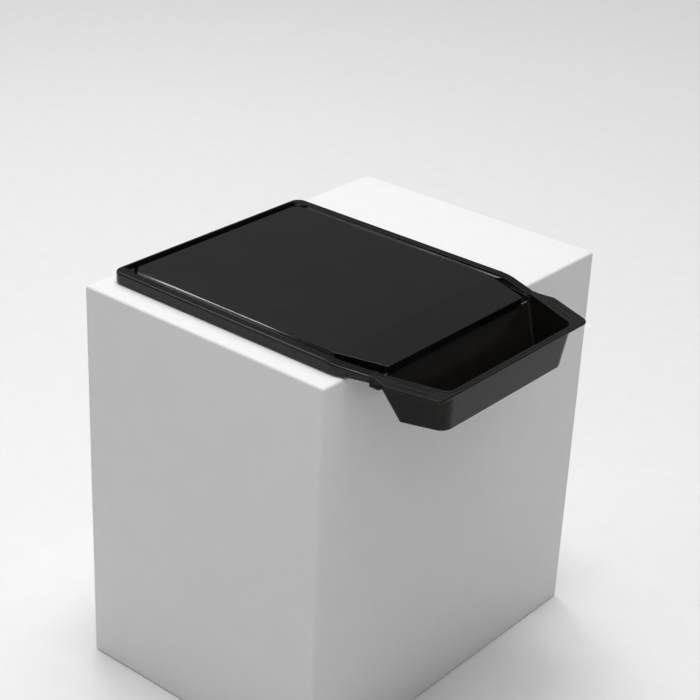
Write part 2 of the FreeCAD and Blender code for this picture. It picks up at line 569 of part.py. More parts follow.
def make_tray():
    body = new_body("catch_tray")
    far = f"( {TRAY} + flange_length )"
    far_top = f"( {FLANGE_TOP} - flange_drop )"
    widest = f"( {ARM_OUTER} + flange_widest )"
    band = draw(body, "flange_profile", "XZ_Plane", [[
        (TRAY, FLANGE_TOP),
        (far, far_top),
        (far, f"{far_top} - flange_thickness"),
        (TRAY, f"{FLANGE_TOP} - flange_thickness"),
    ]])
    pad(body, "flange_band", band, f"2 * ( {widest} + overcut )", both_ways=True)
    waste = [
        (f"{TRAY} - overcut", ARM_OUTER),
        (f"{TRAY} + flange_neck", ARM_OUTER),
        (f"{TRAY} + flange_flare", widest),
        (f"{far} + overcut", flange_edge("( flange_length + overcut )")),
        (f"{far} + overcut", f"( {widest} + overcut * 2 )"),
        (f"{TRAY} - overcut", f"( {widest} + overcut * 2 )"),
    ]
    waste_sketch = draw(body, "flange_waste", "XY_Plane", pair(waste), "board_top + overcut")
    pocket(body, "flange_outline", waste_sketch, "board_top + overcut * 2")
    round_edges(body, "flange_tips", "tip_radius",
                lambda edge: upright(edge) and near(spans(edge)[0], far))
    waist_start = value(f"{TRAY} + flange_neck")
    waist_end = value(f"{TRAY} + flange_flare")
    round_edges(body, "flange_waist", "waist_round", lambda edge: upright(edge)
                and waist_start - LOOSE < spans(edge)[0] < waist_end + LOOSE)

    def flange_rim(edge):
        middle = edge.valueAt((edge.FirstParameter + edge.LastParameter) / 2)
        run = middle.x - value(TRAY)
        top = value(FLANGE_TOP) - value("flange_drop") * run / value("flange_length")
        return run > 1 and abs(middle.z - top) < CLOSE

    round_edges(body, "flange_rounding", "flange_round", flange_rim)

    bowl = make_form("bowl_outside", "0", "( 0 - tray_depth )", "board_top", "bowl_corner", "bowl_heel")
    combine(body, "bowl", "Fuse", bowl)

    # Blocks that meet the frame's arms, and the hook lips under them.
    block_inner = f"( {ARM_INNER} - block_inset )"
    block_outer = f"( {ARM_OUTER} - block_relief )"
    block_end = f"( {TRAY} + block_length )"
    block = [
        (TRAY, block_inner),
        (TRAY, block_outer),
        (block_end, block_outer),
        (f"{block_end} + block_slant", block_inner),
    ]
    block_sketch = draw(body, "block_outline", "XY_Plane", pair(block), "block_bottom")
    block_drop = "flange_drop * ( block_length + block_slant ) / flange_length"
    pad(body, "blocks", block_sketch, f"{FLANGE_TOP} - {block_drop} - flange_round - block_bottom")
    hook_start = f"( {TRAY} + hook_setback )"
    hook_outer = f"( {ARM_OUTER} + hook_reach )"
    hook = [
        (hook_start, block_inner),
        (hook_start, hook_outer),
        (f"{block_end} + hook_reach", hook_outer),
        (f"{block_end} + block_slant", block_inner),
    ]
    hook_sketch = draw(body, "hook_outline", "XY_Plane", pair(hook), "block_bottom - hook_depth")
    pad(body, "hooks", hook_sketch, "hook_depth + hook_reach / 2")

    # Everything above the flange goes, then the bead round the mouth is raised on it.
    slope = "( flange_drop / flange_length )"
    above = draw(body, "above_flange", "XZ_Plane", [[
        (f"{TRAY} - tongue_length", f"{FLANGE_TOP} + tongue_length * {slope}"),
        (f"{far} + overcut", f"{FLANGE_TOP} - ( flange_length + overcut ) * {slope}"),
        (f"{far} + overcut", "board_top * 2"),
        (f"{TRAY} - tongue_length", "board_top * 2"),
    ]])
    pocket(body, "flange_top", above, "frame_width * 2", both_ways=True)
    bead_far = f"( {MOUTH_OUTER} - tray_wall + bead_width + bead_margin )"
    bead_side = f"( {MOUTH_HALF} - tray_wall + bead_width + bead_margin )"
    bead = both_sides([
        ("0", f"( {bead_side} + bowl_taper * {bead_far} )"),
        (bead_far, bead_side),
    ])
    bead_sketch = draw(body, "bead_outline", "XY_Plane", [bead])
    sloped(bead_sketch)
    pad(body, "bead", bead_sketch, "bead_height")
    bead_x = value(f"{TRAY} + {bead_far}")
    bead_reach = value("bead_width")

    def bead_corner(edge):
        left, right, front, back, bottom, height = spans(edge)
        at_end = bead_x - bead_reach < left and right < bead_x + bead_reach
        return at_end and abs(front - back) < CLOSE and near(height - bottom, "bead_height") and bottom > 0
    round_edges(body, "bead_corners", "bowl_corner", bead_corner)

    cavity = make_form("bowl_cavity", "tray_wall", "( tray_wall - tray_depth )", "( board_top + overcut )",
                       "( bowl_corner - tray_wall )", "( bowl_heel - tray_wall / 2 )")
    combine(body, "mouth", "Cut", cavity)

    # Nothing of the bowl passes the seam, and its edge lies low under the plate's end.
    beyond = draw(body, "seam_waste", "XY_Plane", [both_sides([
        (f"{TRAY} - frame_length", SIDE),
        (TRAY, SIDE),
    ])], "board_top + overcut")
    pocket(body, "seam_face", beyond, "board_top + tray_depth + overcut * 2")
    lip_side = f"( {ARM_INNER} - seam_gap )"
    lip_run = "( plate_overhang + lip_gap )"
    under_plate = draw(body, "lip_outline", "XY_Plane", [both_sides([
        (f"{TRAY} - overcut", lip_side),
        (f"{TRAY} + {lip_run}", f"( {lip_side} - bowl_taper * {lip_run} )"),
    ])], "board_top + overcut")
    pocket(body, "low_lip", under_plate, "board_top + overcut - lip_height")

    def groove(inset):
        start, finish = "grip_start", "( grip_start + grip_length )"
        return [
            (start, f"( {flange_edge(start)} - {inset} )"),
            (finish, f"( {flange_edge(finish)} - {inset} )"),
            (finish, f"( {flange_edge(finish)} - {inset} - grip_width )"),
            (start, f"( {flange_edge(start)} - {inset} - grip_width )"),
        ]
    grooves = pair(groove("grip_inset")) + pair(groove("( grip_inset + grip_pitch )"))
    groove_sketch = draw(body, "groove_outline", "XY_Plane", grooves)
    sloped(groove_sketch)
    pocket(body, "grip_grooves", groove_sketch, "grip_depth")

    tongue = [
        (f"{TRAY} - tongue_length", f"{TONGUE_MIDDLE} - tongue_width / 2"),
        (f"{TRAY} + tongue_root", f"{TONGUE_MIDDLE} - tongue_width / 2"),
        (f"{TRAY} + tongue_root", f"{TONGUE_MIDDLE} + tongue_width / 2"),
        (f"{TRAY} - tongue_length", f"{TONGUE_MIDDLE} + tongue_width / 2"),
    ]
    tongue_sketch = draw(body, "tongue_outline", "XY_Plane", pair(tongue), f"{CHANNEL_FLOOR} + slide_gap")
    pad(body, "tongues", tongue_sketch, "tongue_height")
    return body


# ---- channel covers, their screws and the rubber feet ----

def make_cover(label, sign):
    body = new_body(label)
    outline = cover_outline("0")
    if sign < 0:
        outline = pair(outline)[1]
    sketch = draw(body, f"{label}_outline", "XY_Plane", [outline], "foot_gap")
    pad(body, f"{label}_strip", sketch, "cover_thickness")
    spots = SCREW_SPOTS[:2] if sign > 0 else SCREW_SPOTS[2:]
    for name, radius, depth in (("sinks", "screw_head + screw_gap", "head_depth"),
                                ("holes", "screw_shank + shank_gap", "cover_thickness")):
        rounds = draw(body, f"{label}_{name}_outline", "XY_Plane", [], "foot_gap")
        for across, along in spots:
            add_circle(rounds, across, along, radius)
        pocket(body, f"{label}_{name}", rounds, depth, upwards=True)
    return body


def turned(label, name, across, along, profile):
    """Round piece standing on a spot: half section turned about its upright axis."""
    body = new_body(label)
    sketch = draw(body, f"{name}_section", "XZ_Plane", [profile])
    turn = body.newObject("PartDesign::Revolution", f"{name}_turn")
    turn.Profile = sketch
    turn.ReferenceAxis = (sketch, ["V_Axis"])
    turn.Angle = 360
    doc.recompute()
    body.Placement = FreeCAD.Placement(FreeCAD.Vector(value(across), value(along), 0), FreeCAD.Rotation())
    body.setExpression("Placement.Base.x", named(across))
    body.setExpression("Placement.Base.y", named(along))
    return body


def make_screw(label, across, along):
    head_top = "( foot_gap + head_depth )"
    profile = [
        ("0", "foot_gap + screw_recess + driver_depth"),
        ("driver_radius", "foot_gap + screw_recess + driver_depth"),
        ("driver_radius", "foot_gap + screw_recess"),
        ("screw_head", "foot_gap + screw_recess"),
        ("screw_head", head_top),
        ("screw_shank", head_top),
        ("screw_shank", "foot_gap + screw_length - screw_point"),
        ("0", "foot_gap + screw_length"),
    ]
    return turned(label, label, across, along, profile)


def make_foot(label, across, along):
    profile = [
        ("0", "0"),
        ("foot_radius - foot_chamfer", "0"),
        ("foot_radius", "foot_chamfer"),
        ("foot_radius", "foot_gap + foot_recess"),
        ("0", "foot_gap + foot_recess"),
    ]
    return turned(label, label, across, along, profile)


pieces = [make_frame(), make_plate(), make_tray()]
pieces.append(make_cover("channel_cover_back", 1))
pieces.append(make_cover("channel_cover_front", -1))
SCREW_NAMES = ["screw_back_inner", "screw_back_outer", "screw_front_inner", "screw_front_outer"]
for name, spot in zip(SCREW_NAMES, SCREW_SPOTS):
    pieces.append(make_screw(name, *spot))
FOOT_NAMES = ["foot_closed_back", "foot_closed_front", "foot_tray_back", "foot_tray_front"]
for name, spot in zip(FOOT_NAMES, FOOT_SPOTS):
    pieces.append(make_foot(name, *spot))
doc.recompute()

# ---- checks and export ----

for item in doc.Objects:
    if "Invalid" in item.State or "Error" in item.State:
        raise ValueError(f"{item.Label} failed: {item.State}")
os.makedirs("parts", exist_ok=True)
for piece in pieces:
    shape = piece.Shape
    if shape.isNull() or not shape.isValid() or len(shape.Solids) != 1:
        raise ValueError(f"{piece.Label} is not one valid solid")
    shape.exportStep(f"parts/{piece.Label}.step")
    box = shape.BoundBox
    print(f"{piece.Label:22s} {shape.Volume / 1000:8.2f} cm3  "
          f"x {box.XMin:.1f}..{box.XMax:.1f}  y {box.YMin:.1f}..{box.YMax:.1f}  z {box.ZMin:.1f}..{box.ZMax:.1f}")
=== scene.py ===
# %% [markdown]
# # A cutting board with a catch tray
#
# The real object is three black mouldings. A low frame lies on a worktop on four rubber feet, a
# cutting plate drops into it, and a tray slides on to one end and hangs past the worktop's
# edge, so that what was cut is swept off the plate into it. The CAD model already has every one
# of these shapes at its real size, so this file keeps those solids, breaks their edges as a
# mould does, gives each its finish, and models again the one kind of piece whose looks are more
# than its solid: the screws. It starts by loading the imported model, because everything else is
# placed by it.

import math

import bpy
from mathutils import Matrix, Quaternion, Vector


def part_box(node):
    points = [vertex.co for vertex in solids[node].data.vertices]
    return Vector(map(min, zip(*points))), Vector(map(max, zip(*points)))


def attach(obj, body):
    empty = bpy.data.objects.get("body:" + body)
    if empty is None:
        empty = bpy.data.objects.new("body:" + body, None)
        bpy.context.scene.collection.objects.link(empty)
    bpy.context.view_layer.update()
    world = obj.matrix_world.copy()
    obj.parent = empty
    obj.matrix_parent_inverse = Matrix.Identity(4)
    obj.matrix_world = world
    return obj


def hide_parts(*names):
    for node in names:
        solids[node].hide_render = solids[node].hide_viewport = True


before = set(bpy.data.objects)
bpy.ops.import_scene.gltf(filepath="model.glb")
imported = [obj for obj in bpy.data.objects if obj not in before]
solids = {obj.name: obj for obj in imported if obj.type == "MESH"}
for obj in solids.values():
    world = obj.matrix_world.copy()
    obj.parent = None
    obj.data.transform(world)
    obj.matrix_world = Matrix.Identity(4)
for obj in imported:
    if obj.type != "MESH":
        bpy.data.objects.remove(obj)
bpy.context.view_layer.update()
print("pieces:", ", ".join(sorted(solids)))

# %% [markdown]
# Lengths are easier to read in millimetres, which is how such a moulding is drawn, while
# Blender's own unit here is the metre. One short function turns the first into the second, and
# every size below is written with it.

# %% Millimetres
MM = 0.001


def mm(*lengths):
    """Millimetres as metres: one number, or a vector of several."""
    metres = [length * MM for length in lengths]
    return metres[0] if len(metres) == 1 else Vector(metres)


print("one board length:", mm(354), "m")

# %% [markdown]
# The board is seen from above its tray corner, a little tipped in the picture. A camera could
# be aimed by hand, or with a constraint. Here it is stated by the point on the worktop that it
# looks at, the direction it stands in, its distance and its small roll about its own line of
# sight, because these four can each be changed without touching the others. Its frame is
# square, and the lens is a long one, as in a studio, so that the board's far side isn't drawn
# much smaller than its near side.

# %% Camera
AIM = mm(114.56, -94.98, 0)
AZIMUTH, ELEVATION, ROLL = (math.radians(angle) for angle in (39.02, 26.60, 2.62))
CAMERA_DISTANCE = mm(1777.5)
LENS = 89.97

sight = Vector((math.sin(AZIMUTH) * math.cos(ELEVATION),
                -math.cos(AZIMUTH) * math.cos(ELEVATION),
                math.sin(ELEVATION)))
turn = Quaternion(sight, ROLL) @ sight.to_track_quat("Z", "Y")
camera_data = bpy.data.cameras.new("studio_camera")
camera_data.lens = LENS
camera = bpy.data.objects.new("studio_camera", camera_data)
place = AIM + sight * CAMERA_DISTANCE
camera.matrix_world = Matrix.Translation(place) @ turn.to_matrix().to_4x4()
bpy.context.scene.collection.objects.link(camera)
bpy.context.scene.camera = camera
print("camera at", [round(c, 3) for c in camera.location])

# %% [markdown]
# The tray hangs below the worktop, so a flat floor under the board would cut through it. A
# plain block stands in for the worktop: its top is the height z = 0 that the feet stand on, and
# its end lies between the last feet and the tray. It starts as a cube primitive, is scaled to
# its size in edit mode and gets rounded edges from a bevel. A wide floor far below it closes
# the picture. Both are only stage and don't belong to the board.

# %% Worktop block and floor
WORKTOP_LOW = mm(-190, -179, -480)
WORKTOP_HIGH = mm(152, 300, 0)


def start_clean():
    """Nothing selected and nothing active, so that an operator acts on the new piece alone."""
    if bpy.context.mode != "OBJECT":
        bpy.ops.object.mode_set(mode="OBJECT")
    bpy.ops.object.select_all(action="DESELECT")
    bpy.context.view_layer.objects.active = None


def add_block(name, low, high):
    """A cube primitive stretched between two corners, with its object left at the origin."""
    start_clean()
    bpy.ops.mesh.primitive_cube_add(size=1, location=(0, 0, 0))
    block = bpy.context.active_object
    block.name = name
    bpy.ops.object.mode_set(mode="EDIT")
    bpy.ops.mesh.select_all(action="SELECT")
    bpy.ops.transform.resize(value=high - low)
    bpy.ops.transform.translate(value=(high + low) / 2)
    bpy.ops.object.mode_set(mode="OBJECT")
    return block


def apply_modifier(piece, kind, **settings):
    """Add a modifier with these settings and apply it at once."""
    start_clean()
    piece.select_set(True)
    bpy.context.view_layer.objects.active = piece
    modifier = piece.modifiers.new(kind.lower(), kind)
    for setting, value in settings.items():
        setattr(modifier, setting, value)
    bpy.ops.object.modifier_apply(modifier=modifier.name)


worktop = add_block("worktop_block", WORKTOP_LOW, WORKTOP_HIGH)
apply_modifier(worktop, "BEVEL", width=mm(3), segments=4)
bpy.ops.object.shade_smooth_by_angle(angle=math.radians(40))
start_clean()
bpy.ops.mesh.primitive_plane_add(size=60, location=(0, 0, WORKTOP_LOW.z))
floor = bpy.context.active_object
floor.name = "studio_floor"
print("worktop in mm:", [round(1000 * side) for side in WORKTOP_HIGH - WORKTOP_LOW])

# %% [markdown]
# Studio light on glossy black plastic is mostly about what the plastic mirrors. Flat upward
# faces mirror the room behind the board, which stays a quiet grey, so they look almost black.
# The hollow grooves, the rolled edges and the corners turn towards the lamps and draw bright
# lines. A wide, even ceiling lights the floor and the whole object: a sun lamp with a very
# large disc does that everywhere alike. Then come soft area lamps, named for what they do. Two
# long ones are mirrored in the juice grooves, and the others in the rolled edges, the flange
# and the tray's corners. Each is given by its direction and distance from the board's middle,
# its size and the brightness of its face, which is what a mirror image of it shows, and
# Blender's watts are worked out from that.

# %% Lamps and room
BOARD_MIDDLE = mm(40, 0, 0)
CEILING_STRENGTH, CEILING_SPREAD = 1.72, math.radians(46)
ROOM_LEVEL = 0.18


def add_softbox(name, direction, distance, width, height, level, turned=0):
    """A rectangular lamp this far from the board's middle, in this direction, that looks at it.

    level is the brightness of its face, and turned its turn about its own axis in degrees.
    """
    away = Vector(direction).normalized()
    lamp = bpy.data.lights.new(name, "AREA")
    lamp.shape = "RECTANGLE"
    lamp.size, lamp.size_y = width, height
    lamp.energy = level * math.pi * width * height
    stand = bpy.data.objects.new(name, lamp)
    aim = away.to_track_quat("Z", "Y") @ Quaternion((0, 0, 1), math.radians(turned))
    place = BOARD_MIDDLE + away * distance
    stand.matrix_world = Matrix.Translation(place) @ aim.to_matrix().to_4x4()
    bpy.context.scene.collection.objects.link(stand)


ceiling_lamp = bpy.data.lights.new("ceiling", "SUN")
ceiling_lamp.energy = CEILING_STRENGTH
ceiling_lamp.angle = CEILING_SPREAD
ceiling = bpy.data.objects.new("ceiling", ceiling_lamp)
ceiling.matrix_world = Vector((-0.06, 0.10, 1)).to_track_quat("Z", "Y").to_matrix().to_4x4()
bpy.context.scene.collection.objects.link(ceiling)
add_softbox("overhead_softbox", (0.03, -0.05, 0.99), 2.7, width=0.5, height=0.5, level=22)
add_softbox("groove_strip", (-0.635, 0.375, 0.675), 3, width=1.3, height=0.62, level=4.5,
            turned=-45)
add_softbox("far_groove_strip", (-0.55, 0.47, 0.69), 3, width=0.65, height=0.4, level=4.5,
            turned=31)
add_softbox("edge_softbox", (-0.56, -0.30, 0.77), 3, width=0.8, height=0.8, level=3.5)
add_softbox("right_softbox", (0.50, -0.43, 0.75), 3, width=1, height=0.9, level=1.8)
add_softbox("front_card", (0.50, -0.83, 0.20), 2.7, width=0.6, height=0.5, level=2.5)

room = bpy.data.worlds.new("studio_room")
room.use_nodes = True
room.node_tree.nodes["Background"].inputs["Color"].default_value = (1, 1, 1, 1)
room.node_tree.nodes["Background"].inputs["Strength"].default_value = ROOM_LEVEL
bpy.context.scene.world = room
bpy.context.scene.view_settings.view_transform = "Standard"

# %% [markdown]
# A material is a small graph of nodes. A few short helpers keep the graphs readable. One adds a
# node with its settings and its inputs, where an input is either a plain value or the output of
# another node. Two make a node group with named sockets and place it in a material: a group is
# an effect that several finishes share, built once and used with other values each time. The
# last two do sums and stretch a value from one range to another.

# %% Helpers for materials


def add_node(tree, kind, inputs=None, **settings):
    """Add a node to a tree, with settings, and with inputs by name or number."""
    node = tree.nodes.new(kind)
    for setting, value in settings.items():
        setattr(node, setting, value)
    for socket, value in (inputs or {}).items():
        if isinstance(value, bpy.types.NodeSocket):
            tree.links.new(value, node.inputs[socket])
        else:
            node.inputs[socket].default_value = value
    return node


def new_effect(name, inputs, outputs):
    """A shader node group of number inputs and outputs, with its entry and exit nodes."""
    tree = bpy.data.node_groups.new(name, "ShaderNodeTree")
    for label, value in inputs.items():
        socket = tree.interface.new_socket(label, in_out="INPUT", socket_type="NodeSocketFloat")
        socket.default_value = value
    for label in outputs:
        tree.interface.new_socket(label, in_out="OUTPUT", socket_type="NodeSocketFloat")
    return tree, tree.nodes.new("NodeGroupInput").outputs, tree.nodes.new("NodeGroupOutput")


def use_effect(tree, effect, **inputs):
    """Place a node group in a material's tree. Input names are written with underscores."""
    node = tree.nodes.new("ShaderNodeGroup")
    node.node_tree = effect
    for label, value in inputs.items():
        node.inputs[label.replace("_", " ")].default_value = value
    return node.outputs


def arithmetic(tree, operation, first, second, clamp=False):
    """One Math node, as its output socket."""
    return add_node(tree, "ShaderNodeMath", {0: first, 1: second}, operation=operation,
                    use_clamp=clamp).outputs[0]


def remap(tree, value, low, high, new_low, new_high):
    """Stretch a value from one range to another and stop at its ends."""
    return add_node(tree, "ShaderNodeMapRange", {"Value": value, "From Min": low, "From Max": high,
                                                 "To Min": new_low, "To Max": new_high}).outputs[0]


print("helpers for nodes: add_node, new_effect, use_effect, arithmetic, remap")

# %% [markdown]
# **Moulded grain.** A steel mould for kitchen plastic is spark-eroded, which leaves a fine
# sandy skin about a third of a millimetre across on the moulding. An image could show it, but
# it would need to be unwrapped and would repeat. Noise on object coordinates has no seam and
# keeps its real size on every piece. The same group gives a second, much softer value: moulded
# plastic is never evenly matt, and the broad patches make its reflections waver as they do on
# the real thing.

# %% Effect: moulded grain
moulded_grain, grain_in, grain_out = new_effect(
    "moulded_grain", {"Grain Size": 0.35, "Patch Size": 22}, ["Height", "Patches"])
place = add_node(moulded_grain, "ShaderNodeTexCoord").outputs["Object"]
grain_scale = arithmetic(moulded_grain, "DIVIDE", 1000, grain_in["Grain Size"])
patch_scale = arithmetic(moulded_grain, "DIVIDE", 1000, grain_in["Patch Size"])
sand = add_node(moulded_grain, "ShaderNodeTexNoise",
                {"Vector": place, "Scale": grain_scale, "Detail": 2, "Roughness": 0.55}).outputs[0]
patches = add_node(moulded_grain, "ShaderNodeTexNoise",
                   {"Vector": place, "Scale": patch_scale, "Detail": 3, "Roughness": 0.5,
                    "Distortion": 0.4}).outputs[0]
moulded_grain.links.new(sand, grain_out.inputs["Height"])
moulded_grain.links.new(remap(moulded_grain, patches, 0.3, 0.7, 0, 1), grain_out.inputs["Patches"])
print("made", moulded_grain.name)

# %% [markdown]
# ** Edge wear and painted sheen.** Hands and cloths polish the edges of a plastic moulding
# first, and the skin there turns smoother and a shade lighter, a lightening that is partly that
# wear and partly a painted edge highlight. The Bevel node rounds the shading normal near an
# edge. Where that rounded normal turns away from the true one there is an edge, so the angle
# between the two is a mask of edges. A noise breaks it up, because wear is never even.

# %% Effect: edge wear and painted sheen
edge_wear_and_sheen, edge_in, edge_out = new_effect(
    "edge_wear_and_sheen", {"Reach": mm(1.2), "Strength": 1}, ["Rub"])
rounded = add_node(edge_wear_and_sheen, "ShaderNodeBevel", {"Radius": edge_in["Reach"]},
                   samples=6).outputs[0]
facing = add_node(edge_wear_and_sheen, "ShaderNodeNewGeometry").outputs["Normal"]
alike = add_node(edge_wear_and_sheen, "ShaderNodeVectorMath", {0: rounded, 1: facing},
                 operation="DOT_PRODUCT").outputs["Value"]
edge = remap(edge_wear_and_sheen, alike, 0.995, 0.80, 0, 1)
edge_place = add_node(edge_wear_and_sheen, "ShaderNodeTexCoord").outputs["Object"]
broken = add_node(edge_wear_and_sheen, "ShaderNodeTexNoise",
                  {"Vector": edge_place, "Scale": 160, "Detail": 4}).outputs[0]
uneven = remap(edge_wear_and_sheen, broken, 0.35, 0.65, 0.35, 1)
wear_and_sheen = arithmetic(edge_wear_and_sheen, "MULTIPLY", arithmetic(edge_wear_and_sheen, "MULTIPLY", edge, uneven),
                 edge_in["Strength"])
edge_wear_and_sheen.links.new(wear_and_sheen, edge_out.inputs["Rub"])
print("made", edge_wear_and_sheen.name)

# %% [markdown]
# **Knife marks.** A plate that has been used carries hair-fine cuts. Each is a long straight
# line, and together they run in a few favoured directions across the board. A noise that is
# stretched thirty times longer than it is wide gives streaks, and cutting off all but its peaks
# leaves thin separate lines. The group draws one such set in one direction. A finish uses it
# three times, turned, and adds the results.

# %% Effect: knife marks
knife_marks, cut_in, cut_out = new_effect(
    "knife_marks", {"Angle": 0, "Width": 0.25, "Length": 26, "Fewness": 0.66}, ["Cut"])
cut_place = add_node(knife_marks, "ShaderNodeTexCoord").outputs["Object"]
cut_turn = add_node(knife_marks, "ShaderNodeCombineXYZ", {"Z": cut_in["Angle"]}).outputs[0]
turned = add_node(knife_marks, "ShaderNodeMapping",
                  {"Vector": cut_place, "Rotation": cut_turn}).outputs[0]
along = arithmetic(knife_marks, "DIVIDE", 1000, cut_in["Length"])
across = arithmetic(knife_marks, "DIVIDE", 1000, cut_in["Width"])
stretch = add_node(knife_marks, "ShaderNodeCombineXYZ",
                   {"X": along, "Y": across, "Z": 1}).outputs[0]
streaks = add_node(knife_marks, "ShaderNodeVectorMath", {0: turned, 1: stretch},
                   operation="MULTIPLY").outputs[0]
cut_noise = add_node(knife_marks, "ShaderNodeTexNoise",
                     {"Vector": streaks, "Scale": 0.5, "Detail": 1}).outputs[0]
over = arithmetic(knife_marks, "SUBTRACT", cut_noise, cut_in["Fewness"])
cut = arithmetic(knife_marks, "MULTIPLY", over, 14, clamp=True)
knife_marks.links.new(cut, cut_out.inputs["Cut"])
print("made", knife_marks.name)

# %% [markdown]
# A mask such as the edge wear and painted sheen acts on a finish by mixing two values. Two
# helpers mix numbers and colours by such a share, and a third starts each finish with an empty
# material.

# %% Helpers for finishes


def blend_numbers(tree, share, first, second):
    """Mix two numbers by a share: the first where it is 0, the second where it is 1."""
    return add_node(tree, "ShaderNodeMix", {"Factor": share, "A": first, "B": second},
                    data_type="FLOAT").outputs[0]


def blend_colours(tree, share, first, second):
    """Mix two colours by a share, in the same way."""
    mix = add_node(tree, "ShaderNodeMix", {"Factor": share}, data_type="RGBA")
    for socket, colour in (("A", first), ("B", second)):
        inlet = next(i for i in mix.inputs if i.name == socket and i.type == "RGBA")
        if isinstance(colour, bpy.types.NodeSocket):
            tree.links.new(colour, inlet)
        else:
            inlet.default_value = (*colour, 1)
    return next(o for o in mix.outputs if o.type == "RGBA")


def new_finish(name):
    """An empty node material with its shader."""
    material = bpy.data.materials.new(name)
    material.use_nodes = True
    tree = material.node_tree
    return material, tree, tree.nodes["Principled BSDF"].inputs


print("helpers for finishes: blend_numbers, blend_colours, new_finish")

# %% [markdown]
# ** The plastic.** Frame, plate and tray are all black plastic, and differ in how matt they are
# and how fine their skin is. One function builds the common part: a Principled shader whose
# colour goes from the deep black of the fresh skin to a greyer black at every edge, which is
# partly wear and partly a painted edge highlight, whose roughness follows the patches and drops
# where it is rubbed, and whose bump is the grain. Faces that look up get a colour of their own,
# which is painted light and shade: a painted shade on the frame's tops and painted light on the
# tops of the other pieces. The settings that don't vary over the surface sit on the shader's
# own sockets.

# %% Common plastic
PATCH_LIGHTER = 1.35  # how much lighter the lightest patches are
RUBBED_GLOSS = 0.75  # roughness of a rubbed edge beside that of the glossiest skin


def black_plastic(name, colour, painted_tops, wear_and_sheen_colour, roughness, grain_size, grain_depth, specular,
                  softness=0.8):
    """A moulded black plastic. The colour for faces that look up is painted light and shade, the
    colour for edges is partly wear and partly a painted highlight, and lengths are in mm.

    Returns its material, tree, shader inputs and mask of edge wear and painted edge highlight.
    """
    material, tree, shader = new_finish(name)
    grain = use_effect(tree, moulded_grain, Grain_Size=grain_size, Patch_Size=24)
    wear_and_sheen = use_effect(tree, edge_wear_and_sheen, Reach=mm(1.2))["Rub"]

    patchy = blend_colours(tree, grain["Patches"], colour, [c * PATCH_LIGHTER for c in colour])
    normal = add_node(tree, "ShaderNodeNewGeometry").outputs["Normal"]
    facing_up = add_node(tree, "ShaderNodeSeparateXYZ", {0: normal}).outputs["Z"]
    # Painted light and shade: faces that look up are painted a colour of their own, darker on the
    # frame and lighter on the other pieces, for how light falls on them.
    with_painted_tops = blend_colours(tree, remap(tree, facing_up, 0.6, 0.95, 0, 1), patchy, painted_tops)
    # Edges get a lighter colour, partly wear and partly a painted edge highlight.
    tree.links.new(blend_colours(tree, wear_and_sheen, with_painted_tops, wear_and_sheen_colour), shader["Base Color"])

    matt = remap(tree, grain["Patches"], 0, 1, roughness[0], roughness[1])
    gloss = blend_numbers(tree, wear_and_sheen, matt, roughness[0] * RUBBED_GLOSS)
    tree.links.new(gloss, shader["Roughness"])
    tree.links.new(wear_and_sheen, shader["Coat Weight"])

    soft_edges = add_node(tree, "ShaderNodeBevel", {"Radius": mm(softness)}, samples=4).outputs[0]
    skin = add_node(tree, "ShaderNodeBump", {"Height": grain["Height"], "Normal": soft_edges,
                                             "Strength": 0.5, "Distance": mm(grain_depth)})
    tree.links.new(skin.outputs[0], shader["Normal"])

    shader["IOR"].default_value = 1.49
    shader["Specular IOR Level"].default_value = specular
    shader["Coat Roughness"].default_value = 0.14
    return material, tree, shader, wear_and_sheen


print("recipe for black plastic, patches up to", PATCH_LIGHTER, "times lighter")

# %% [markdown]
# The three mouldings then differ only in their numbers. The frame has the coarsest grain. The
# tray's skin is a trace warmer and mirrors least, and its shading is rounded less at the edges,
# so that the narrow grip grooves stay crisp. The plate has the finest grain and mirrors most.

# %% Frame, tray and plate
# The top colours are a painted shade on the frame and painted light on the tray and plate. The
# edge colours are partly wear and partly a painted highlight.
frame_finish = black_plastic(
    "frame_plastic", colour=(0.0120, 0.0120, 0.0112), painted_tops=(0.0038, 0.0038, 0.0040),
    wear_and_sheen_colour=(0.026, 0.026, 0.027), roughness=(0.15, 0.20),
    grain_size=0.55, grain_depth=0.035, specular=0.27)[0]
tray_finish = black_plastic(
    "tray_plastic", colour=(0.0070, 0.0064, 0.0056), painted_tops=(0.0160, 0.0156, 0.0152),
    wear_and_sheen_colour=(0.030, 0.029, 0.028), roughness=(0.16, 0.21),
    grain_size=0.45, grain_depth=0.028, specular=0.15, softness=0.25)[0]
plate_finish, plate_tree, plate_shader, plate_wear_and_sheen = black_plastic(
    "plate_plastic", colour=(0.0060, 0.0060, 0.0065), painted_tops=(0.0072, 0.0072, 0.0075),
    wear_and_sheen_colour=(0.022, 0.022, 0.024), roughness=(0.17, 0.20),
    grain_size=0.40, grain_depth=0.018, specular=0.33)
print("plastics:", frame_finish.name, plate_finish.name, tray_finish.name)

# %% [markdown]
# **The plate's own finish.** The cutting surface is satin and carries the knife marks. The
# juice grooves along its sides rinse clean, because a thin gloss lies over them, which the
# shader's coat draws. One material holds both: the distance from the board's middle line tells
# them apart.

# %% Plate: field and grooves
FIELD_SIDE = mm(132)
GROOVE_ROUGHNESS, CUT_ROUGHNESS = 0.20, 0.31
CUT_SETS = ((0.35, 0.735), (1.25, 0.75), (1.90, 0.765))  # direction in radians, fewness

plate_place = add_node(plate_tree, "ShaderNodeTexCoord").outputs["Object"]
sideways = add_node(plate_tree, "ShaderNodeSeparateXYZ", {0: plate_place}).outputs["Y"]
off_middle = add_node(plate_tree, "ShaderNodeMath", {0: sideways}, operation="ABSOLUTE").outputs[0]
in_groove = remap(plate_tree, off_middle, FIELD_SIDE - mm(0.2), FIELD_SIDE + mm(0.2), 0, 1)
in_field = arithmetic(plate_tree, "SUBTRACT", 1, in_groove)

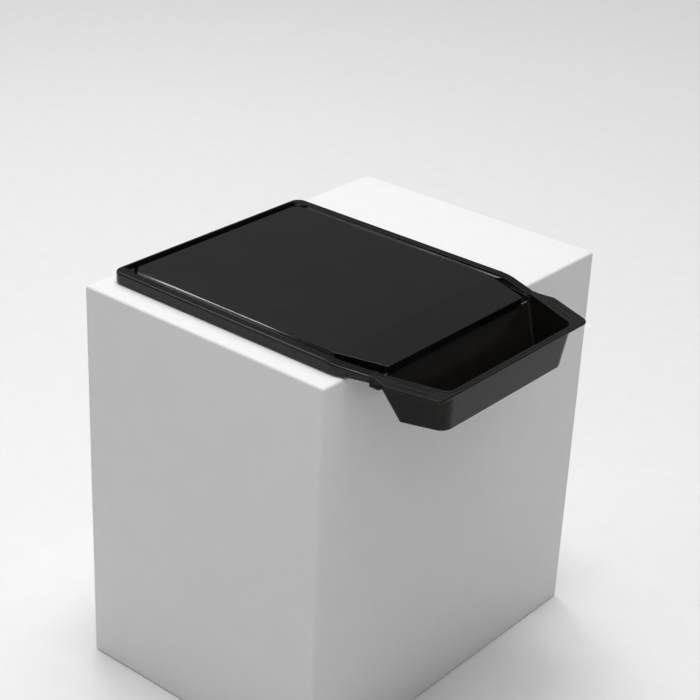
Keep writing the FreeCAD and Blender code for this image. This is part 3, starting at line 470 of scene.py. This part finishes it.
cuts = [use_effect(plate_tree, knife_marks, Angle=angle, Fewness=fewness)["Cut"]
        for angle, fewness in CUT_SETS]
all_cuts = arithmetic(plate_tree, "MAXIMUM", arithmetic(plate_tree, "MAXIMUM", *cuts[:2]), cuts[2])
field_cuts = arithmetic(plate_tree, "MULTIPLY", all_cuts, in_field)

satin = plate_shader["Roughness"].links[0].from_socket
cut_satin = blend_numbers(plate_tree, field_cuts, satin, CUT_ROUGHNESS)
plate_tree.links.new(blend_numbers(plate_tree, in_groove, cut_satin, GROOVE_ROUGHNESS),
                     plate_shader["Roughness"])
plate_tree.links.new(arithmetic(plate_tree, "MAXIMUM", plate_wear_and_sheen, in_groove),
                     plate_shader["Coat Weight"])
skin = plate_shader["Normal"].links[0].from_socket
scored = add_node(plate_tree, "ShaderNodeBump", {"Height": field_cuts, "Normal": skin,
                                                 "Strength": 0.2, "Distance": mm(0.02)},
                  invert=True)
plate_tree.links.new(scored.outputs[0], plate_shader["Normal"])
print("grooves start", round(1000 * FIELD_SIDE, 1), "mm from the middle")

# %% [markdown]
# **Rubber and steel.** The feet are soft black rubber, so the plastic's recipe is used again
# with a much rougher, coarser and greyer skin. The screws are bare zinc-plated steel: a metal
# has no base colour under its gloss, its colour is that of its reflection, and small patches of
# it are duller where the plating is thin.

# %% Rubber and steel
# The feet's tops are painted a little lighter as painted light, and their edges are lighter,
# partly as wear and partly as a painted highlight.
rubber_finish = black_plastic(
    "foot_rubber", colour=(0.018, 0.018, 0.018), painted_tops=(0.020, 0.020, 0.020),
    wear_and_sheen_colour=(0.035, 0.035, 0.035), roughness=(0.72, 0.88),
    grain_size=0.6, grain_depth=0.05, specular=0.35)[0]

steel_finish, steel_tree, steel_shader = new_finish("screw_steel")
steel_grain = use_effect(steel_tree, moulded_grain, Grain_Size=0.12, Patch_Size=2)
steel_colour = blend_colours(steel_tree, steel_grain["Patches"], (0.50, 0.49, 0.47),
                             (0.62, 0.61, 0.59))
steel_tree.links.new(steel_colour, steel_shader["Base Color"])
steel_tree.links.new(remap(steel_tree, steel_grain["Patches"], 0, 1, 0.24, 0.40),
                     steel_shader["Roughness"])
plating = add_node(steel_tree, "ShaderNodeBump", {"Height": steel_grain["Height"], "Strength": 0.4,
                                                  "Distance": mm(0.006)})
steel_tree.links.new(plating.outputs[0], steel_shader["Normal"])
steel_shader["Metallic"].default_value = 1
print("also made", rubber_finish.name, "and", steel_finish.name)

# %% [markdown]
# **Worktop and floor** are painted the same plain, pale matt grey. A faint noise keeps the
# paint from being one dead tone, and nothing in it draws the eye from the board.

# %% Stage finish
stage_finish, stage_tree, stage_shader = new_finish("pale_studio_paint")
stage_place = add_node(stage_tree, "ShaderNodeTexCoord").outputs["Object"]
stage_noise = add_node(stage_tree, "ShaderNodeTexNoise",
                       {"Vector": stage_place, "Scale": 30, "Detail": 3}).outputs[0]
stage_colour = blend_colours(stage_tree, stage_noise, (0.78, 0.78, 0.78), (0.82, 0.82, 0.82))
stage_tree.links.new(stage_colour, stage_shader["Base Color"])
stage_shader["Roughness"].default_value = 0.7
for piece in (worktop, floor):
    piece.data.materials.append(stage_finish)
print("painted", worktop.name, "and", floor.name)

# %% [markdown]
# **Dressing the solids.** No moulding has a knife-sharp edge, and the CAD solids do have some.
# Their meshes aren't edited. Live modifiers do the work instead: one joins the loose triangles,
# one merges the triangles of each flat face so that only real edges are left, and a fine bevel
# breaks those edges by a quarter of a millimetre. Its hardened normals keep the flat faces
# flat, which shows at once on a glossy black surface.

# %% Dress the solids
BROKEN_EDGE = mm(0.25)
FINISHES = {
    "base_frame": frame_finish,
    "channel_cover_back": frame_finish,
    "channel_cover_front": frame_finish,
    "cutting_plate": plate_finish,
    "catch_tray": tray_finish,
    "foot_closed_back": rubber_finish,
    "foot_closed_front": rubber_finish,
    "foot_tray_back": rubber_finish,
    "foot_tray_front": rubber_finish,
}


def dress(solid, finish):
    """Keep a CAD solid, join its loose triangles, break its sharp edges and give it a finish."""
    solid.modifiers.new("join_triangles", "WELD").merge_threshold = mm(0.002)
    flats = solid.modifiers.new("clear_flats", "DECIMATE")
    flats.decimate_type = "DISSOLVE"
    flats.angle_limit = math.radians(0.6)
    edges = solid.modifiers.new("break_edges", "BEVEL")
    edges.width = BROKEN_EDGE
    edges.segments = 2
    edges.limit_method = "ANGLE"
    edges.angle_limit = math.radians(28)
    edges.harden_normals = True
    solid.data.materials.clear()
    solid.data.materials.append(finish)


for solid_name, finish in FINISHES.items():
    dress(solids[solid_name], finish)
print("dressed:", ", ".join(FINISHES))

# %% [markdown]
# **The screws.** Two small pan-head screws hold each channel cover under its arm. The solid is
# a plain stepped pin with a round hole for the driver, and the real screw has a domed head and
# a cross recess. A revolved profile would give the dome. Starting from a cylinder is as quick,
# and shows three edit mode steps: the upper face is inset to the shank's width, the shank and
# its point are extruded, and the head's lower rim is bevelled round.

# %% Screw blank
HEAD_RADIUS, SHANK_RADIUS = mm(2.4), mm(1.2)
HEAD_LOW, HEAD_HIGH, SHANK_HIGH, POINT_HIGH = (mm(height) for height in (2.15, 2.9, 6.4, 7.2))
POINT_TAPER = 0.15  # the point's end beside the shank


def select_faces(piece, wanted):
    """In edit mode, select only the faces whose middle and normal pass a test."""
    bpy.ops.object.mode_set(mode="EDIT")
    bpy.ops.mesh.select_mode(type="FACE")
    bpy.ops.mesh.select_all(action="DESELECT")
    bpy.ops.object.mode_set(mode="OBJECT")
    for face in piece.data.polygons:
        face.select = wanted(face.center, face.normal)
    bpy.ops.object.mode_set(mode="EDIT")


start_clean()
bpy.ops.mesh.primitive_cylinder_add(vertices=40, radius=HEAD_RADIUS, depth=HEAD_HIGH - HEAD_LOW,
                                    location=(0, 0, (HEAD_HIGH + HEAD_LOW) / 2))
screw = bpy.context.active_object
bpy.ops.object.transform_apply(location=True, rotation=True, scale=True)
select_faces(screw, lambda middle, normal: normal.z > 0.9)
bpy.ops.mesh.inset(thickness=HEAD_RADIUS - SHANK_RADIUS)
bpy.ops.mesh.extrude_region_move(TRANSFORM_OT_translate={"value": (0, 0, SHANK_HIGH - HEAD_HIGH)})
bpy.ops.mesh.extrude_region_move(TRANSFORM_OT_translate={"value": (0, 0, POINT_HIGH - SHANK_HIGH)})
bpy.ops.transform.resize(value=(POINT_TAPER, POINT_TAPER, 1))
select_faces(screw, lambda middle, normal: normal.z < -0.9)
bpy.ops.mesh.bevel(offset=mm(0.45), segments=5, affect="EDGES")
bpy.ops.object.mode_set(mode="OBJECT")
print("screw blank:", len(screw.data.polygons), "faces")

# %% [markdown]
# The cross recess is cut with a boolean. Its cutter is a narrow block, wider at the head's face
# than at its floor, as a real driver's tip is. The block is used twice, the second time a
# quarter turn round.

# %% Cross recess
RECESS_REACH, RECESS_WIDTH, RECESS_DEPTH = mm(2.7), mm(0.7), mm(0.5)
for turn_angle in (0, math.pi / 2):
    half = Vector((RECESS_REACH, RECESS_WIDTH, 2 * RECESS_DEPTH)) / 2
    middle = Vector((0, 0, HEAD_LOW))
    cutter = add_block("recess_cutter", middle - half, middle + half)
    select_faces(cutter, lambda centre, normal: normal.z > 0.9)
    bpy.ops.transform.resize(value=(0.62, 0.75, 1))
    bpy.ops.mesh.select_all(action="SELECT")
    bpy.ops.transform.rotate(value=turn_angle, orient_axis="Z", center_override=(0, 0, 0))
    bpy.ops.object.mode_set(mode="OBJECT")
    apply_modifier(screw, "BOOLEAN", object=cutter, operation="DIFFERENCE", solver="EXACT")
    start_clean()
    cutter.select_set(True)
    bpy.ops.object.delete()
start_clean()
screw.select_set(True)
bpy.context.view_layer.objects.active = screw
bpy.ops.object.shade_smooth_by_angle(angle=math.radians(30))
screw.data.materials.append(steel_finish)
print("screw with recess:", len(screw.data.polygons), "faces")

# %% [markdown]
# The screw is copied to its four places. Each copy has its own mesh, moved and turned in edit
# mode so that its object stays at the origin, and no two recesses lie at the same angle, as on
# hand-driven screws. Each copy stands for its plain solid, and moves with the frame.

# %% Four screws
DRIVEN_TO = {  # degrees
    "screw_front_inner": 17,
    "screw_front_outer": 52,
    "screw_back_inner": 71,
    "screw_back_outer": 34,
}
for solid_name, angle in DRIVEN_TO.items():
    low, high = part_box(solid_name)
    start_clean()
    screw.select_set(True)
    bpy.context.view_layer.objects.active = screw
    bpy.ops.object.duplicate(linked=False)
    driven = bpy.context.active_object
    driven.name = "cross_" + solid_name
    bpy.ops.object.mode_set(mode="EDIT")
    bpy.ops.mesh.select_all(action="SELECT")
    bpy.ops.transform.rotate(value=math.radians(angle), orient_axis="Z", center_override=(0, 0, 0))
    bpy.ops.transform.translate(value=((low.x + high.x) / 2, (low.y + high.y) / 2, 0))
    bpy.ops.object.mode_set(mode="OBJECT")
    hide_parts(solid_name)
    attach(driven, "frame")
start_clean()
screw.select_set(True)
bpy.ops.object.delete()
print("screws driven:", len(DRIVEN_TO))
